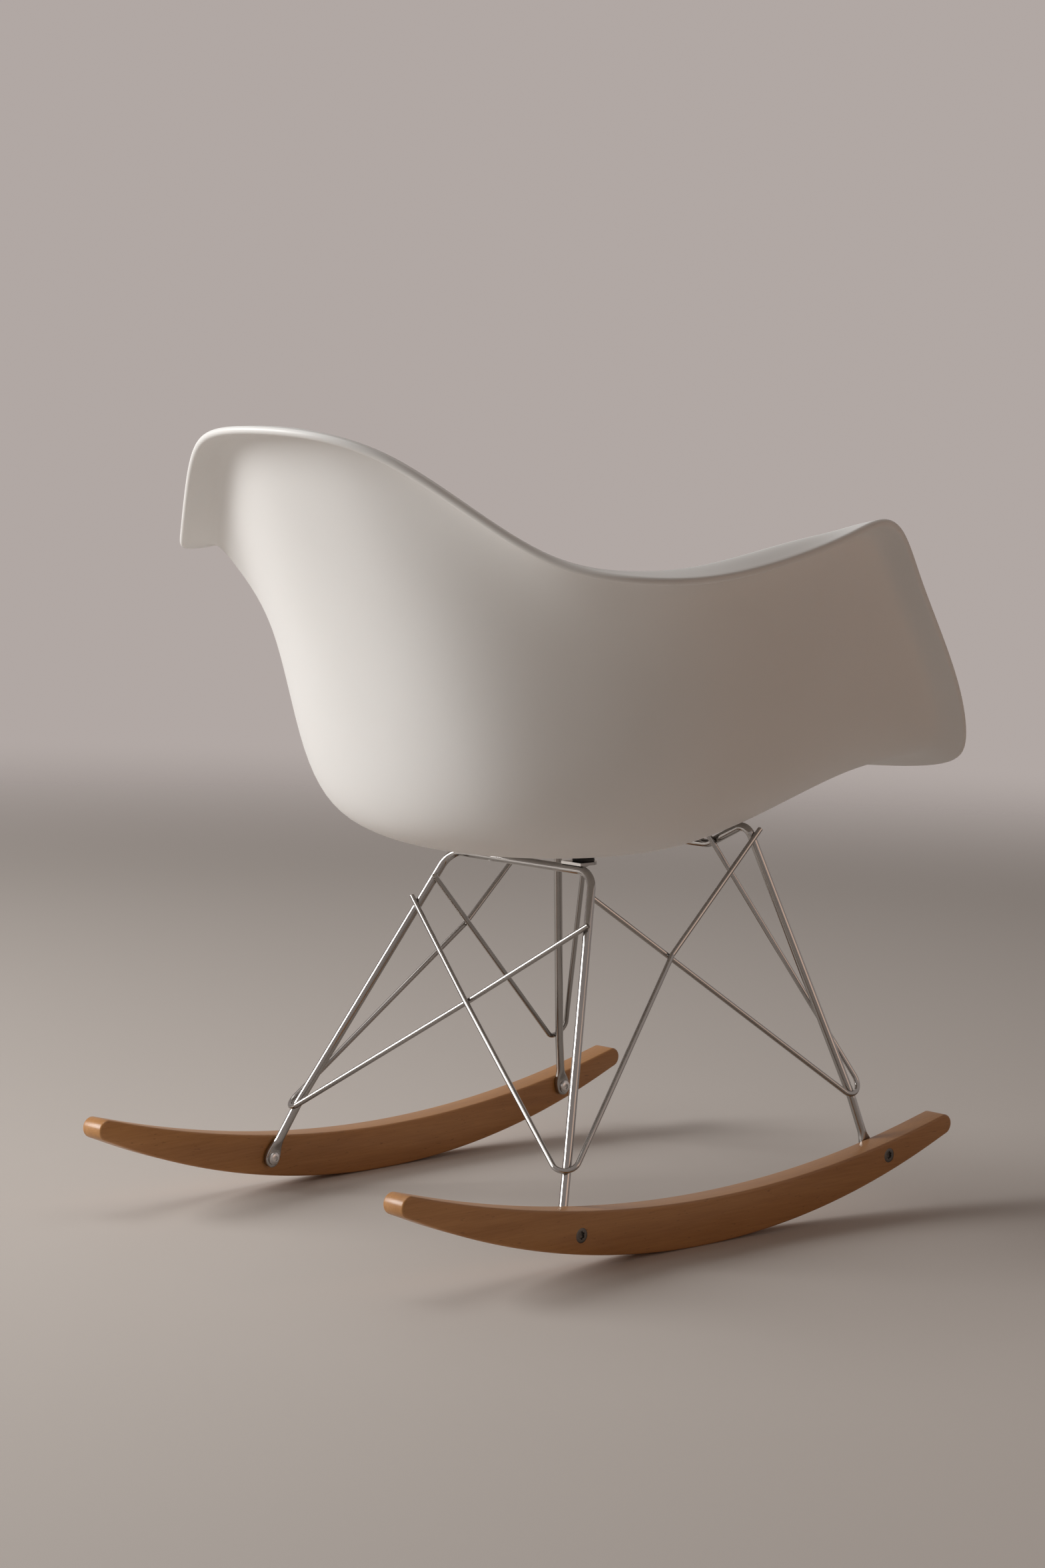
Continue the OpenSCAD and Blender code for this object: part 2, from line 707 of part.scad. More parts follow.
module rear_right_shock_mount() {
    color("black") mirror([1, 0, 0]) shock_mount(rear_top, rear_n);
}

module front_left_shock_mount() {
    color("black") shock_mount(front_top, front_n);
}

module front_right_shock_mount() {
    color("black") mirror([1, 0, 0]) shock_mount(front_top, front_n);
}

module mount_plates() {
    color("gray")
        both_sides() {
            mount_plate(rear_top);
            mount_plate(front_top);
        }
}

module mount_screws() {
    color("dimgray")
        both_sides() {
            mount_screw(rear_top);
            mount_screw(front_top);
        }
}

// ---------------------------------------------------------------------------------------------
// Rockers and their bolts
// ---------------------------------------------------------------------------------------------
END_BACK = 9.5;
ARC_FN = 720;
end_y = rocker_len / 2 - END_BACK;
end_slope = asin(end_y / mix(sole_r, top_r, 0.5));
end_r = (top_z(end_y) - sole_z(end_y)) / 2 * cos(end_slope);
module rocker_outline() {
    // X of this outline is the length of the rocker and Y is up
    difference() {
        translate([0, sole_r]) circle(r = sole_r, $fn = ARC_FN);
        translate([0, rocker_h + top_r]) circle(r = top_r, $fn = 2 * ARC_FN);
        for (s = [-1, 1])
            translate([s * end_y, mid_z(end_y)])
                rotate(s * end_slope)
                    translate([s > 0 ? 0 : -2 * sole_r, -2 * sole_r])
                        square([2 * sole_r, 4 * sole_r]);
        translate([-2 * sole_r, top_z(end_y) + end_r])
            square([4 * sole_r, 4 * sole_r]);
    }
    for (s = [-1, 1])
        translate([s * end_y, mid_z(end_y)])
            circle(r = end_r, $fn = 2 * MESH_FN);
}

// Bolt hole with the sleeve nut's seat, along X at a bolt point
module rocker_bore(b) {
    translate([-rocker_t / 2 - 1, b.y, b.z])
        rotate([0, 90, 0])
            cylinder(d = clear_d, h = rocker_t + 2, $fn = MESH_FN);
    translate([rocker_t / 2 - NUT_BARREL_L - NUT_FIT, b.y, b.z])
        rotate([0, 90, 0])
            cylinder(d = NUT_BARREL_D + NUT_FIT, h = NUT_BARREL_L + 1 + NUT_FIT, $fn = MESH_FN);
    translate([rocker_t / 2 - NUT_HEAD_T, b.y, b.z])
        rotate([0, 90, 0])
            cylinder(d = NUT_HEAD_D + NUT_FIT, h = NUT_HEAD_T + 1, $fn = MESH_FN);
}

module rocker() {
    difference() {
        translate([-rocker_t / 2, 0, 0])
            rotate([90, 0, 90])
                linear_extrude(height = rocker_t)
                    rocker_outline();
        rocker_bore(rear_bolt);
        rocker_bore(front_bolt);
    }
}

module left_rocker() {
    color("burlywood") at_left_rocker() rocker();
}

module right_rocker() {
    color("burlywood") mirror([1, 0, 0]) at_left_rocker() rocker();
}

// Bolt from inside, its head against the flat eye
module rocker_bolt(b) {
    seat_x = -rocker_t / 2 - EYE_T - 2 * EYE_GAP;
    tip_x = rocker_t / 2 - NUT_BARREL_L + BOLT_IN_NUT;
    translate([seat_x, b.y, b.z])
        rotate([0, 90, 0])
            socket_screw(tip_x - seat_x);
}

// Sleeve nut from outside, flush with the rocker's face
module sleeve_nut(b) {
    translate([rocker_t / 2, b.y, b.z])
        rotate([0, 90, 0])
            difference() {
                union() {
                    translate([0, 0, -NUT_HEAD_T])
                        cylinder(d = NUT_HEAD_D, h = NUT_HEAD_T, $fn = MESH_FN);
                    translate([0, 0, -NUT_BARREL_L])
                        cylinder(d = NUT_BARREL_D, h = NUT_BARREL_L - 1, $fn = MESH_FN);
                }
                translate([0, 0, -NUT_BARREL_L - 1])
                    cylinder(d = thread_d + gap, h = BOLT_IN_NUT + 3, $fn = MESH_FN);
                translate([0, 0, -3])
                    cylinder(d = STAR_D, h = 4, $fn = 6);
            }
}

module rocker_bolts() {
    color("silver")
        both_sides()
            at_left_rocker() {
                rocker_bolt(rear_bolt);
                rocker_bolt(front_bolt);
            }
}

module rocker_sleeve_nuts() {
    color("dimgray")
        both_sides()
            at_left_rocker() {
                sleeve_nut(rear_bolt);
                sleeve_nut(front_bolt);
            }
}

seat_shell();
rear_leg_hoop();
front_leg_hoop();
rear_left_brace();
rear_right_brace();
front_left_brace();
front_right_brace();
rear_left_tab();
rear_right_tab();
front_left_tab();
front_right_tab();
rear_left_shock_mount();
rear_right_shock_mount();
front_left_shock_mount();
front_right_shock_mount();
mount_plates();
mount_screws();
left_rocker();
right_rocker();
rocker_bolts();
rocker_sleeve_nuts();
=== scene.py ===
import math

import bmesh
import bpy
import numpy as np
from mathutils import Matrix, Vector


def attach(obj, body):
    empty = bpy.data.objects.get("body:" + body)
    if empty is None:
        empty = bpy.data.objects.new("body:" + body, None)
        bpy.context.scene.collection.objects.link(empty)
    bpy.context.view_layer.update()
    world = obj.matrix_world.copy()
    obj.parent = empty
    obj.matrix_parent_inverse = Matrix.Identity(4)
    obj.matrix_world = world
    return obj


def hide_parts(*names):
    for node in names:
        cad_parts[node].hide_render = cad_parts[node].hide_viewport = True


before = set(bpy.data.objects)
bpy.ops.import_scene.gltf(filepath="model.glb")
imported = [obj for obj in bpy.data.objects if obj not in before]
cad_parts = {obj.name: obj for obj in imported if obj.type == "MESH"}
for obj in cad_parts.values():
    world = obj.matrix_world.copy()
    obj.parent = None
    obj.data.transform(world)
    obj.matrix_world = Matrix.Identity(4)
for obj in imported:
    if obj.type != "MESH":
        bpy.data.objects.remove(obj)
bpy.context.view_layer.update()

MM = 0.001

# ---------------------------------------------------------------------------------------------
# Sizes, in millimetres, the same as the CAD model's
# ---------------------------------------------------------------------------------------------
SHELL_SIZE = (632, 645, 377)
FORM_SIZE = (632, 645, 377)
SEAT_Z = 325
SHELL_T = 4
LIP_T = 7
ROD_D = 8
WIRE_D = 5
HOOP_BEND = 22
FRONT_HOOP_BEND = 10
FOOT_BEND = 30
KINK_BEND = 20
BRACE_BEND = 12
BRACE_FOOT_REAR = 72
BRACE_FOOT_FRONT = 101
ROCKER_LEN = 690
ROCKER_T = 25
ROCKER_H = 41.5
SOLE_R = 900
TOP_R = 1330
SPREAD_REAR = 423
SPREAD_FRONT = 446
LEAN = math.radians(0.75)
TAB_T = 2.5
MOUNT_H = 4
MOUNT_D = 20

# Half of the stations round the shell, front centre first: [across, back, up]
LIP_LINE = [
    [0, -299, 74], [112, -303, 76], [219, -307, 84], [252, -300, 106], [268, -270, 153],
    [283, -220, 206], [293, -173, 257], [298, -141, 299], [304, -104, 306], [310, -62, 297],
    [314, -10, 285], [313, 55, 271], [305, 122, 261], [277, 176, 261], [228, 221, 272],
    [170, 266, 314], [115, 304, 352], [60, 328, 367], [0, 333, 370]]
LIP_TURN = [
    [24, 11], [24, 11], [22, 10], [22, 6], [22, 4], [22, 4], [22, 4], [24, -2], [24, -1],
    [24, 5], [24, 13], [25, 16], [27, 14], [28, 9], [28, 6], [27, 3], [26, 3], [25, 5], [24, 7]]
WALL_LINE = [
    [0, -238, 56], [93, -238, 61], [170, -234, 78], [214, -219, 99], [240, -198, 125],
    [254, -168, 150], [264, -130, 170], [269, -98, 185], [272, -65, 195], [274, -35, 199],
    [273, 0, 198], [266, 38, 195], [250, 74, 193], [225, 107, 195], [190, 142, 199],
    [149, 178, 207], [102, 206, 215], [52, 220, 220], [0, 224, 222]]
FOOT_LINE = [
    [0, -194, 24], [73, -193, 29], [137, -184, 46], [178, -165, 64], [206, -143, 75],
    [222, -118, 79], [232, -90, 80], [239, -65, 81], [243, -42, 81], [246, -18, 81],
    [245, 8, 79], [239, 38, 78], [225, 68, 78], [202, 98, 78], [170, 128, 78],
    [134, 156, 80], [93, 176, 82], [46, 187, 83], [0, 190, 84]]
SEAT_HALF_W, SEAT_FRONT, SEAT_BACK, SEAT_RISE = 178, -137, 164, (4.5, 20, 17.5)
FLAT_HALF_W, FLAT_FRONT, FLAT_BACK, FLAT_RISE = 85, -75, 84, 2
CENTRE_RISE = -1
AXIS_Y = -20
UPPER = 0.24


def vec(*p):
    return np.array(p, float)


def unit(v):
    return v / np.linalg.norm(v)


def mix(a, b, k):
    return a + (b - a) * k


def across(v, d):
    return unit(v - d * (v @ d))


def flip(p):
    return p * vec(-1, 1, 1)


# ---------------------------------------------------------------------------------------------
# Shell surface
# ---------------------------------------------------------------------------------------------
HALF = len(LIP_LINE) - 1
AROUND = 2 * HALF


def ring_of(half):
    h = np.array(half, float)
    return np.array([h[i] if i <= HALF else flip(h[AROUND - i]) for i in range(AROUND)])


def eased(r):
    return r - (np.roll(r, 1, 0) - 2 * r + np.roll(r, -1, 0)) / 6


def sized(r):
    k = np.array(SHELL_SIZE) / np.array(FORM_SIZE)
    return r * k + vec(0, 0, SEAT_Z)


def root_of(i):
    p = np.array(LIP_LINE[i], float)
    inward = unit(vec(-p[0], AXIS_Y - p[1], 0))
    return p + inward * LIP_TURN[i][0] + vec(0, 0, LIP_TURN[i][1])


def seat_point(i):
    x, y = FOOT_LINE[i][0], FOOT_LINE[i][1]
    mid, half = (SEAT_FRONT + SEAT_BACK) / 2, (SEAT_FRONT - SEAT_BACK) / 2
    a = math.atan2(x, mid - y)
    c, s = math.cos(a), math.sin(a)
    up = SEAT_RISE[0] * max(c, 0) ** 2 + SEAT_RISE[1] * s * s + SEAT_RISE[2] * max(-c, 0) ** 2
    return [SEAT_HALF_W * s, mid + half * c, up]


def flat_point(i):
    a = 2 * math.pi * i / AROUND
    mid, half = (FLAT_FRONT + FLAT_BACK) / 2, (FLAT_FRONT - FLAT_BACK) / 2
    return [FLAT_HALF_W * math.sin(a), mid + half * math.cos(a), FLAT_RISE]


stations = range(HALF + 1)
root_line = [root_of(i) for i in stations]
upper_line = [mix(root_line[i], np.array(WALL_LINE[i], float), UPPER) for i in stations]
flat_ring = sized(eased(ring_of([flat_point(i) for i in stations])))
centre = [[0, (FLAT_FRONT + FLAT_BACK) / 2, CENTRE_RISE]] * (HALF + 1)
NET = np.array([
    sized(eased(ring_of(LIP_LINE))),
    sized(eased(ring_of(root_line))),
    sized(eased(ring_of(upper_line))),
    sized(eased(ring_of(WALL_LINE))),
    sized(eased(ring_of(FOOT_LINE))),
    sized(eased(ring_of([seat_point(i) for i in stations]))),
    flat_ring,
    sized(ring_of(centre)),
    np.roll(flat_ring, HALF, 0)])
DOWN = len(NET) - 2


def blend(t):
    return np.array([(1 - t) ** 3, 3 * t ** 3 - 6 * t * t + 4,
                     -3 * t ** 3 + 3 * t * t + 3 * t + 1, t ** 3]) / 6


def skin(u, v):
    """Points of the underside for arrays u (0 lip, DOWN centre) and v (0 to AROUND)."""
    i = np.floor(v).astype(int)
    w = blend(v - i)
    m = sum(w[k][:, None] * NET[:, (i + k - 1) % AROUND] for k in range(4))
    m = np.concatenate([2 * m[:1] - m[1:2], m])
    j = np.minimum(np.floor(u).astype(int), DOWN - 1)
    w = blend(u - j)
    return sum(w[k][:, None, None] * m[j + k] for k in range(4))


STEP = 0.02


def skin_normal(u, v):
    du = skin(np.minimum(u + STEP, DOWN - STEP), v) - skin(np.maximum(u - STEP, 0), v)
    dv = skin(u, v + STEP) - skin(u, v - STEP)
    n = np.cross(du, dv)
    return n / np.linalg.norm(n, axis=2, keepdims=True)


def seek(x, y, u, v):
    for _ in range(8):
        a = skin(np.array([u, u + STEP]), np.array([v, v + STEP]))
        p, pu, pv = a[0, 0], (a[1, 0] - a[0, 0]) / STEP, (a[0, 1] - a[0, 0]) / STEP
        det = pu[0] * pv[1] - pu[1] * pv[0]
        ex, ey = x - p[0], y - p[1]
        u, v = u + (ex * pv[1] - ey * pv[0]) / det, v + (pu[0] * ey - pu[1] * ex) / det
    return skin(np.array([u]), np.array([v]))[0, 0], skin_normal(np.array([u]), np.array([v]))[0, 0]


# ---------------------------------------------------------------------------------------------
# Mounts, rockers, hoops and braces: the same places as in the CAD model
# ---------------------------------------------------------------------------------------------
TAB_BACK, REAR_MOUNT_X, FRONT_MOUNT_X, REAR_BAR_Y, FRONT_BAR_Y = 13, 66, 46, 11.5, -168
rear_top, rear_n = seek(REAR_MOUNT_X, REAR_BAR_Y - TAB_BACK, 5.7, 11)
front_top, front_n = seek(FRONT_MOUNT_X, FRONT_BAR_Y + TAB_BACK, 4.8, 1)
rod_r, wire_r = ROD_D / 2, WIRE_D / 2
rear_bar_z = rear_top[2] - MOUNT_H - TAB_T - rod_r
front_bar_z = front_top[2] - MOUNT_H - TAB_T - rod_r

REAR_BOLT_Y, FRONT_BOLT_Y, REAR_BOLT_DROP, FRONT_BOLT_LIFT = 139, -257, -2, 2
TOE = math.atan((SPREAD_FRONT - SPREAD_REAR) / 2 / (REAR_BOLT_Y - FRONT_BOLT_Y))
ROCKER_X = SPREAD_REAR / 2 + REAR_BOLT_Y * math.tan(TOE) - ROCKER_T / 2 / math.cos(TOE)
ROCKER_Z = SOLE_R * (1 - math.cos(LEAN))


def sole_z(y):
    return SOLE_R - math.sqrt(SOLE_R ** 2 - y * y)


def top_z(y):
    return ROCKER_H + TOP_R - math.sqrt(TOP_R ** 2 - y * y)


def mid_z(y):
    return (sole_z(y) + top_z(y)) / 2


AT_ROCKER = (Matrix.Translation((ROCKER_X, 0, ROCKER_Z))
             @ Matrix.Rotation(TOE, 4, "Z") @ Matrix.Rotation(LEAN, 4, "X"))


# Outwards, square to the left rocker's face
OUT = np.array(AT_ROCKER.to_3x3() @ Vector((1, 0, 0)))


def at_rocker(*p):
    return np.array(AT_ROCKER @ Vector(p))


rear_bolt = (0, REAR_BOLT_Y, mid_z(REAR_BOLT_Y) + REAR_BOLT_DROP)
front_bolt = (0, FRONT_BOLT_Y, mid_z(FRONT_BOLT_Y) + FRONT_BOLT_LIFT)
EYE_T, EYE_D, EYE_GAP = 5, 17, 0.1
EYE_X = -ROCKER_T / 2 - EYE_GAP - EYE_T / 2
rear_eye = at_rocker(EYE_X, *rear_bolt[1:])
front_eye = at_rocker(EYE_X, *front_bolt[1:])
eye_axis = vec(math.cos(TOE), math.sin(TOE), 0)

REAR_BEND, FRONT_BEND = vec(-12, -20, 51), vec(-8, 15, 50)
rear_bend = rear_eye + REAR_BEND
front_bend = front_eye + FRONT_BEND
rear_corner = vec(90, REAR_BAR_Y, rear_bar_z)
front_corner = vec(120, FRONT_BAR_Y + 9, front_bar_z + 25)
front_kink = vec(67, FRONT_BAR_Y, front_bar_z)
rear_dir = unit(rear_corner - rear_bend)
front_dir = unit(front_corner - front_bend)


def on_leg(foot, d, z):
    return foot + d * (z - foot[2]) / d[2]


rear_side_n = across(vec(0, 1, 0), rear_dir)
left_side_n = unit(np.cross(mix(rear_corner, front_corner, 0.5) - rear_bend, front_bend - rear_bend))

LEFT, RIGHT = 0, 1
REAR_X_TOP, REAR_X_PAST = 268, 6
SIDE_REAR_TOP, SIDE_REAR_PAST = (291, 301), (12, -8)
SIDE_CROSS_UP, CROSS_GAP = (8, 3), 0.2
REAR_FOOT_CLEAR, FRONT_FOOT_CLEAR = 0.5, 1.1
SIDE_FRONT_TOP, SIDE_FRONT_PAST = 342, 8
FRONT_BAR_PAST, BAR_SHARE = 8, 0.22
OUTWARD_FROM_Y = -60
touch = rod_r + wire_r


def outward_at(p, d):
    return across(vec(p[0], p[1] - OUTWARD_FROM_Y, 0), d)


def laid_on(p, d, far, hint):
    n = np.cross(d, p - far)
    return p + unit(n) * (touch if n @ hint > 0 else -touch)


rear_touch_p = on_leg(rear_bend, rear_dir, BRACE_FOOT_REAR)
rear_foot = rear_touch_p + outward_at(rear_touch_p, rear_dir) * (touch + REAR_FOOT_CLEAR)
front_touch_p = on_leg(front_bend, front_dir, BRACE_FOOT_FRONT)
front_foot = front_touch_p + outward_at(front_touch_p, front_dir) * (touch + FRONT_FOOT_CLEAR)
rear_x_end = laid_on(
    on_leg(rear_bend, rear_dir, REAR_X_TOP), rear_dir, flip(rear_foot), rear_side_n)
side_front_top = on_leg(front_bend, front_dir, SIDE_FRONT_TOP)
bar_end = laid_on(
    mix(front_kink, front_corner, BAR_SHARE), front_corner - front_kink, front_foot, vec(0, 1, 0))


def side_rear_end(side):
    return laid_on(
        on_leg(rear_bend, rear_dir, SIDE_REAR_TOP[side]), rear_dir, front_foot, -left_side_n)


def v_corner(foot, e1, e2, r):
    a, b = unit(e1 - foot), unit(e2 - foot)
    half = math.acos(a @ b) / 2
    return foot - unit(a + b) * r * (1 / math.sin(half) - 1)


def nearest(p, q, s, t):
    d, e, w = q - p, t - s, p - s
    a, b, c, f, g = d @ d, d @ e, e @ e, d @ w, e @ w
    k = a * c - b * b
    return p + d * ((b * g - c * f) / k), s + e * ((a * g - b * f) / k)


def past(e, start, length):
    return e + unit(e - start) * length


rear_v = v_corner(rear_foot, flip(rear_x_end), side_front_top, BRACE_BEND)
rear_pair = nearest(rear_v, flip(rear_x_end), flip(rear_v), rear_x_end)
rear_push = (WIRE_D + CROSS_GAP) / 2


def front_v(side):
    return v_corner(front_foot, side_rear_end(side), bar_end, BRACE_BEND)


def side_cross(side):
    v, e = front_v(side), side_rear_end(side)
    d = unit(e - v)
    p = nearest(rear_v, side_front_top, v, e)[1]
    return p + d * SIDE_CROSS_UP[side] / d[2] + left_side_n * (WIRE_D + CROSS_GAP)


def side_front_end(side):
    return laid_on(side_front_top, front_dir, side_cross(side), left_side_n)


def rear_brace_path(side):
    return [past(flip(rear_x_end), rear_v, REAR_X_PAST),
            rear_pair[0] + rear_side_n * rear_push * (-1 if side == LEFT else 1),
            rear_v, side_cross(side),
            past(side_front_end(side), side_cross(side), SIDE_FRONT_PAST)]


def front_brace_path(side):
    return [past(side_rear_end(side), front_v(side), SIDE_REAR_PAST[side]),
            front_v(side), past(bar_end, front_v(side), FRONT_BAR_PAST)]


# ---------------------------------------------------------------------------------------------
# Mesh helpers
# ---------------------------------------------------------------------------------------------
def make(name, verts, faces, material, sharp=40, mirror=False):
    """A smooth-shaded mesh from millimetre points; its faces are turned to point outwards."""
    mesh = bpy.data.meshes.new(name)
    pts = np.array(verts, float) * MM
    if mirror:
        pts = pts * vec(-1, 1, 1)
    mesh.from_pydata(pts.tolist(), [], faces)
    bm = bmesh.new()
    bm.from_mesh(mesh)
    bmesh.ops.remove_doubles(bm, verts=bm.verts, dist=1e-7)
    bmesh.ops.recalc_face_normals(bm, faces=bm.faces)
    bm.to_mesh(mesh)
    bm.free()
    mesh.shade_smooth()
    mesh.set_sharp_from_angle(angle=math.radians(sharp))
    mesh.materials.append(material)
    obj = bpy.data.objects.new(name, mesh)
    bpy.context.scene.collection.objects.link(obj)
    return obj


def skin_rings(rings, closed_ends=True):
    """Vertices and quads over a list of equal rings of points."""
    n = len(rings[0])
    verts = [p for r in rings for p in r]
    faces = []
    for i in range(len(rings) - 1):
        for j in range(n):
            k = (j + 1) % n
            faces.append((i * n + j, i * n + k, (i + 1) * n + k, (i + 1) * n + j))
    if closed_ends:
        faces.append(tuple(range(n)))
        faces.append(tuple((len(rings) - 1) * n + j for j in range(n)))
    return verts, faces


def joined(parts):
    """Several (verts, faces) as one."""
    verts, faces = [], []
    for v, f in parts:
        base = len(verts)
        verts += [np.array(p, float) for p in v]
        faces += [tuple(base + i for i in q) for q in f]
    return verts, faces


SIDES = 32
TURNED_SIDES = 48
KINK_R = 7


def centre_line(pts, radii):
    """Centre line of a bent rod, with fine arcs at its bends."""
    line = [pts[0]]
    for i in range(1, len(pts) - 1):
        a, b = unit(pts[i] - pts[i - 1]), unit(pts[i + 1] - pts[i])
        r = radii[i - 1] or KINK_R
        turn = math.acos(min(1, a @ b))
        n = unit(b - a * (a @ b))
        c = pts[i] - a * r * math.tan(turn / 2) + n * r
        steps = max(4, round(turn / 0.08))
        for k in range(steps + 1):
            t = turn * k / steps
            line.append(c + r * (a * math.sin(t) - n * math.cos(t)))
    line.append(pts[-1])
    return line


def frames_along(line, first):
    """A tangent and two cross directions at each point, without twist."""
    n = len(line)
    tans = [unit(line[min(i + 1, n - 1)] - line[max(i - 1, 0)]) for i in range(n)]
    x = across(first, tans[0])
    out = []
    for t in tans:
        x = across(x, t)
        out.append((t, x, np.cross(t, x)))
    return out


def round_ring(p, x, y, r):
    return [p + (x * math.cos(a) + y * math.sin(a)) * r
            for a in (2 * math.pi * k / SIDES for k in range(SIDES))]


CHAMFER = 0.5


def wire_mesh(pts, radii, d):
    """A bent wire with square-cut ends and a small chamfer."""
    line = centre_line(pts, radii)
    frames = frames_along(line, vec(0.3, 0.5, 1))
    rings = []
    for i, (p, (t, x, y)) in enumerate(zip(line, frames)):
        if i == 0:
            rings.append(round_ring(p, x, y, d / 2 - CHAMFER))
            rings.append(round_ring(p + t * CHAMFER, x, y, d / 2))
        elif i == len(line) - 1:
            rings.append(round_ring(p - t * CHAMFER, x, y, d / 2))
            rings.append(round_ring(p, x, y, d / 2 - CHAMFER))
        else:
            rings.append(round_ring(p, x, y, d / 2))
    return skin_rings(rings)


def smooth(k):
    k = min(max(k, 0), 1)
    return k * k * (3 - 2 * k)


def flattened_ring(p, wide, thin, w, t, power):
    """A cross-section between a circle and a rounded bar: half width w, half thickness t."""
    out = []
    for k in range(SIDES):
        a = 2 * math.pi * k / SIDES
        c, s = math.cos(a), math.sin(a)
        out.append(p + thin * t * math.copysign(abs(c) ** (2 / power), c)
                   + wide * w * math.copysign(abs(s) ** (2 / power), s))
    return out


EYE_AT = [-8.5, -8.35, -8.0, -7.4, -6.5, -5.2, -3.5, -1.5, 1, 3.5, 6, 8.5, 11, 13.5, 16, 18.5, 21]


def hoop_mesh(eye, up, pts, radii):
    """Half of a leg hoop, from its pressed-flat eye to the middle of its cross bar, mirrored."""
    flat_up = across(up, eye_axis)
    line = centre_line([eye + flat_up * EYE_AT[0], eye + flat_up * 9] + pts, [FOOT_BEND] + radii)
    body = line[1:]
    # Resample the first stretch by distance from the eye
    dist = np.cumsum([0] + [np.linalg.norm(body[i + 1] - body[i]) for i in range(len(body) - 1)])
    s0 = np.linalg.norm(body[0] - eye)

    def at(s):
        if s <= s0:
            return eye + flat_up * s
        k = s - s0
        return np.array([np.interp(k, dist, [b[c] for b in body]) for c in range(3)])

    near = [at(s) for s in EYE_AT]
    rest = [b for b, d in zip(body, dist) if d + s0 > EYE_AT[-1] + 1]
    line = near + rest
    frames = frames_along(line, eye_axis)
    rings = []
    for i, (p, (t, x, y)) in enumerate(zip(line, frames)):
        if i < len(EYE_AT):
            s = EYE_AT[i]
            k = smooth((s - 2) / (EYE_AT[-1] - 3))
            w = math.sqrt(max(EYE_D ** 2 / 4 - s * s, 0.05)) if s < 0 else mix(EYE_D / 2, rod_r, k)
            half_t = mix(EYE_T / 2, rod_r, smooth((s - 7) / 13))
            rings.append(flattened_ring(p, y, x, w, half_t, mix(6, 2, smooth((s - 4) / 16))))
        elif i == len(line) - 1:
            rings.append([q * vec(0, 1, 1) for q in round_ring(p, x, y, rod_r)])
        else:
            rings.append(round_ring(p, x, y, rod_r))
    v, f = skin_rings(rings, closed_ends=False)
    f.append(tuple(range(SIDES)))
    mirrored = [flip(p) for p in v]
    return joined([(v, f), (mirrored, [tuple(reversed(q)) for q in f])])


def turned(profile, origin, axis, side, n=TURNED_SIDES):
    """A turned piece: profile is a list of (radius or radius-by-angle function, height)."""
    z = unit(axis)
    x = across(side, z)
    y = np.cross(z, x)
    rings = []
    for r, h in profile:
        ring = []
        for k in range(n):
            a = 2 * math.pi * k / n
            q = r(a) if callable(r) else r
            ring.append(origin + z * h + (x * math.cos(a) + y * math.sin(a)) * q)
        rings.append(ring)
    return skin_rings(rings)


def hexagon(af):
    return lambda a: af / 2 / math.cos((a % (math.pi / 3)) - math.pi / 6)


def star(r, depth):
    return lambda a: r * (1 + depth * math.cos(6 * a))


